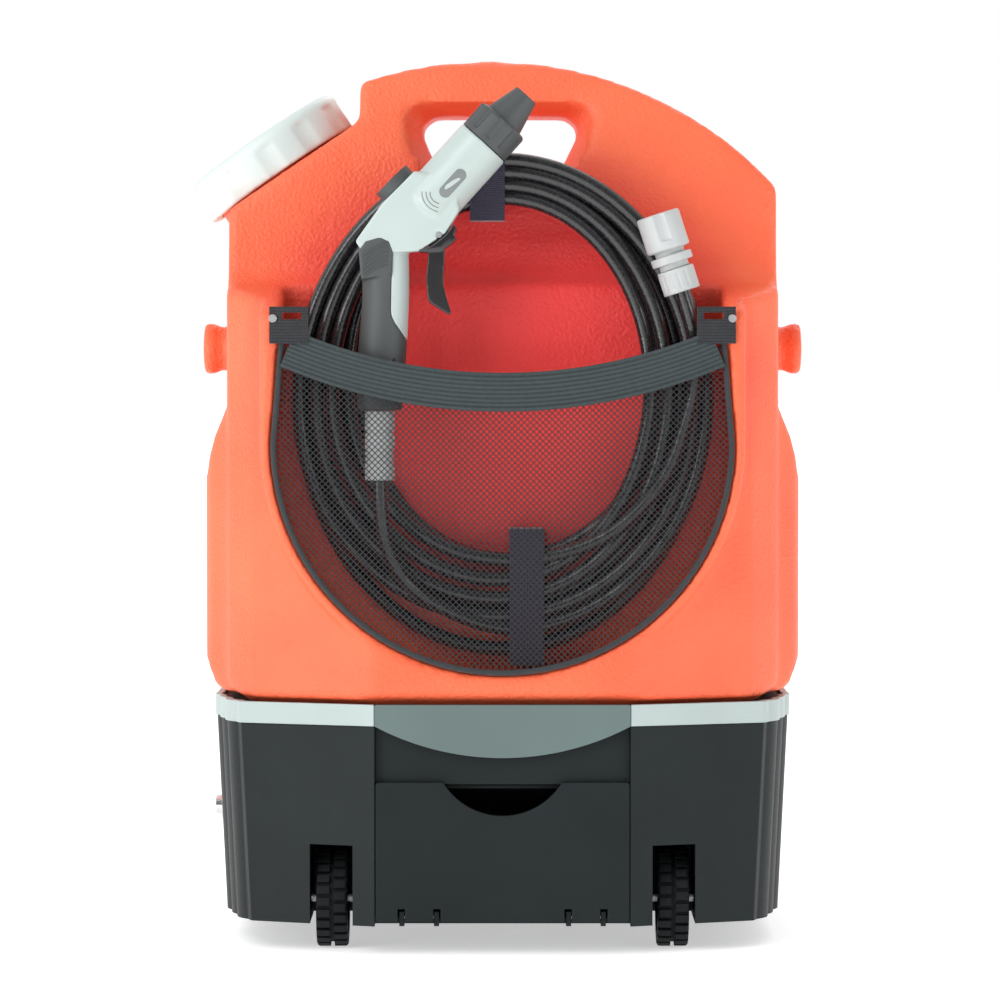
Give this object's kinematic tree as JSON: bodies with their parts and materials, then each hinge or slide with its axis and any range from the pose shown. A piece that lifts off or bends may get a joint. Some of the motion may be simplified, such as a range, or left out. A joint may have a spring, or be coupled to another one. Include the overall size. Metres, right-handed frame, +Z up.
{
  "type": "portable tank pressure washer",
  "caption": "Portable pressure washer: moulded water tank with carrying handle and slanted filler cap on a wheeled base, hose coil and spray gun in a front net pocket.",
  "frame": {"origin": "on the floor, midway between the sides and between front and back", "axes": "+X to the right seen from the front, -Y to the front, +Z up"},
  "size_m": [0.3806, 0.2979, 0.5409],
  "materials": {
    "tank_orange": "grained moulded polyethylene",
    "cap_white": "smooth moulded plastic",
    "base_black": "fine spark-eroded grain",
    "band_grey": "satin moulded plastic",
    "crest_grey": "satin moulded plastic",
    "tyre_black": "moulded rubber tread",
    "hub_black": "moulded plastic",
    "seal_rubber": "soft rubber",
    "steel": "zinc plated",
    "chrome": "polished",
    "motor_steel": "enamel",
    "battery_grey": "moulded plastic",
    "tube_clear": "reinforced tube",
    "lead_red": "PVC insulation",
    "net_black": "knotless diamond net",
    "webbing_black": "ribbed elastic webbing",
    "hose_black": "glossy hose skin",
    "tie_black": "hook and loop tape",
    "connector_grey": "satin moulded plastic",
    "gun_grey": "satin moulded plastic",
    "gun_dark": "soft-touch overmould",
    "trigger_black": "polished moulded plastic"
  },
  "bodies": {
    "machine": {"axle_clips": "steel", "axles": "steel", "base_deck": "base_black", "base_screws": "steel", "base_shell": "base_black", "battery_pack": "battery_grey", "battery_strap": "steel", "charge_socket": "hub_black", "clamp_nuts": "steel", "elastic_band": "webbing_black", "front_crest": "crest_grey", "front_panel": "base_black", "hinge_pins": "steel", "net_bead": "webbing_black", "net_pocket": "net_black", "outlet_fitting": "hub_black", "outlet_nipple": "chrome", "outlet_seal": "seal_rubber", "pocket_tabs": "webbing_black", "power_leads": "lead_red", "pump_bracket": "steel", "pump_head": "hub_black", "pump_motor": "motor_steel", "pump_mounts": "seal_rubber", "pump_tubes": "tube_clear", "rear_feet": "seal_rubber", "service_plate": "base_black", "storage_tray": "base_black", "suction_strainer": "hub_black", "switch_frame": "hub_black", "tab_rivets": "steel", "tank_screws": "steel", "tank_shell": "tank_orange", "tank_top": "tank_orange", "trim_band": "band_grey"},
    "wheel_left": {"wheel_tyre_left": "tyre_black", "wheel_hub_left": "hub_black"},
    "wheel_right": {"wheel_tyre_right": "tyre_black", "wheel_hub_right": "hub_black"},
    "door": {"storage_door": "base_black"},
    "cap_seal": {"cap_gasket": "seal_rubber"},
    "cap": {"filler_cap": "cap_white"},
    "rocker": {"power_rocker": "trigger_black"},
    "socket_cover": {"charge_cover": "seal_rubber"},
    "hose_set": {"hose_coil": "hose_black", "hose_gun_end": "hose_black", "hose_connector_end": "hose_black", "hose_ties": "tie_black", "connector_nut": "connector_grey", "connector_socket": "connector_grey", "gun_body": "gun_grey", "gun_grip": "gun_dark", "gun_hose_nut": "connector_grey", "trigger_pin": "steel", "trigger_spring": "steel"},
    "collar": {"connector_collar": "connector_grey"},
    "trigger": {"trigger": "trigger_black"},
    "nozzle": {"nozzle_ring": "gun_dark", "nozzle_tip": "gun_dark"},
    "knob": {"flow_knob": "gun_dark"}
  },
  "joints": [
    {"name": "wheel_left_spin", "type": "hinge", "parent": "machine", "child": "wheel_left", "pos_m": [-0.103, -0.097, 0.03], "axis": [1, 0, 0], "continuous": true},
    {"name": "wheel_right_spin", "type": "hinge", "parent": "machine", "child": "wheel_right", "pos_m": [0.103, -0.097, 0.03], "axis": [1, 0, 0], "continuous": true},
    {"name": "storage_door_drop", "type": "hinge", "parent": "machine", "child": "door", "pos_m": [0, -0.1378, 0.0225], "axis": [1, 0, 0], "range_deg": [0, 95]},
    {"name": "cap_lift", "type": "slide", "parent": "machine", "child": "cap_seal", "axis": [-0.5667, 0, 0.8239], "range_m": [0, 0.09]},
    {"name": "cap_turn", "type": "hinge", "parent": "cap_seal", "child": "cap", "pos_m": [-0.1362, 0, 0.47015], "axis": [-0.5667, 0, 0.8239], "range_deg": [0, 540]},
    {"name": "power_rocker_press", "type": "hinge", "parent": "machine", "child": "rocker", "pos_m": [0.062, 0.141, 0.096], "axis": [1, 0, 0], "range_deg": [-8, 8]},
    {"name": "charge_cover_lift", "type": "hinge", "parent": "machine", "child": "socket_cover", "pos_m": [0.014, 0.147, 0.1092], "axis": [1, 0, 0], "range_deg": [0, 110]},
    {"name": "hose_set_lift", "type": "slide", "parent": "machine", "child": "hose_set", "axis": [0, 0, 1], "range_m": [0, 0.35]},
    {"name": "connector_collar_slide", "type": "slide", "parent": "hose_set", "child": "collar", "axis": [0.309, 0, -0.9511], "range_m": [0, 0.003], "stiffness_N_per_m": 300, "springref_m": -0.001},
    {"name": "trigger_pull", "type": "hinge", "parent": "hose_set", "child": "trigger", "pos_m": [-0.038, -0.1255, 0.431], "axis": [0, 1, 0], "range_deg": [0, 12], "stiffness_Nm_per_rad": 0.2, "springref_deg": -2.86},
    {"name": "nozzle_turn", "type": "hinge", "parent": "hose_set", "child": "nozzle", "pos_m": [-0.0115, -0.1255, 0.4862], "axis": [0.671, 0, 0.7414], "range_deg": [-135, 135]},
    {"name": "flow_knob_turn", "type": "hinge", "parent": "hose_set", "child": "knob", "pos_m": [-0.0622, -0.1255, 0.4595], "axis": [-0.7071, 0, 0.7071], "range_deg": [0, 270]}
  ]
}
